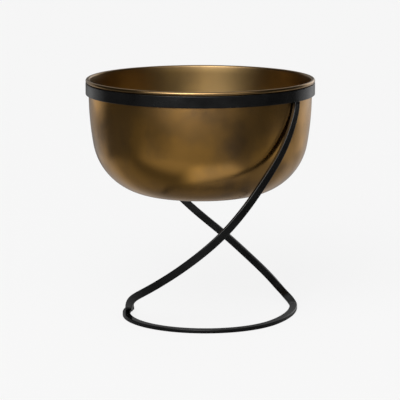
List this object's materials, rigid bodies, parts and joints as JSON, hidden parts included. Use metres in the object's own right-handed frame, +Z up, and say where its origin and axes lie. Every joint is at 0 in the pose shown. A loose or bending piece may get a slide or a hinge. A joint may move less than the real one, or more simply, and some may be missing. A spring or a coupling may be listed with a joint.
{
  "type": "planter with stand",
  "caption": "Round spun metal bowl with a rolled rim, hanging by the rim in a band ring on a stand of twisted flat-bar legs that wind down to an open arc foot; the bowl lifts out.",
  "frame": {"origin": "on the floor, straight under the axis of the bowl and ring", "axes": "+Z up along the bowl's axis; -Y to the front, the side the front leg winds round; +X to the right, where the front leg meets the ring and the foot bar folds up into the rear leg"},
  "size_m": [0.3, 0.3, 0.317],
  "materials": {
    "antique_brass": "smoky antique patina, softly polished",
    "black_coat": "satin black powder coat on steel"
  },
  "bodies": {
    "stand": {"support_ring": "black_coat", "ring_seam_weld": "black_coat", "foot_bar": "black_coat", "front_leg": "black_coat", "leg_welds": "black_coat", "heel_weld": "black_coat"},
    "bowl": {"planter_bowl": "antique_brass"}
  },
  "joints": [
    {"name": "bowl_lift", "type": "slide", "parent": "stand", "child": "bowl", "axis": [0, 0, 1], "range_m": [0, 0.16]}
  ]
}
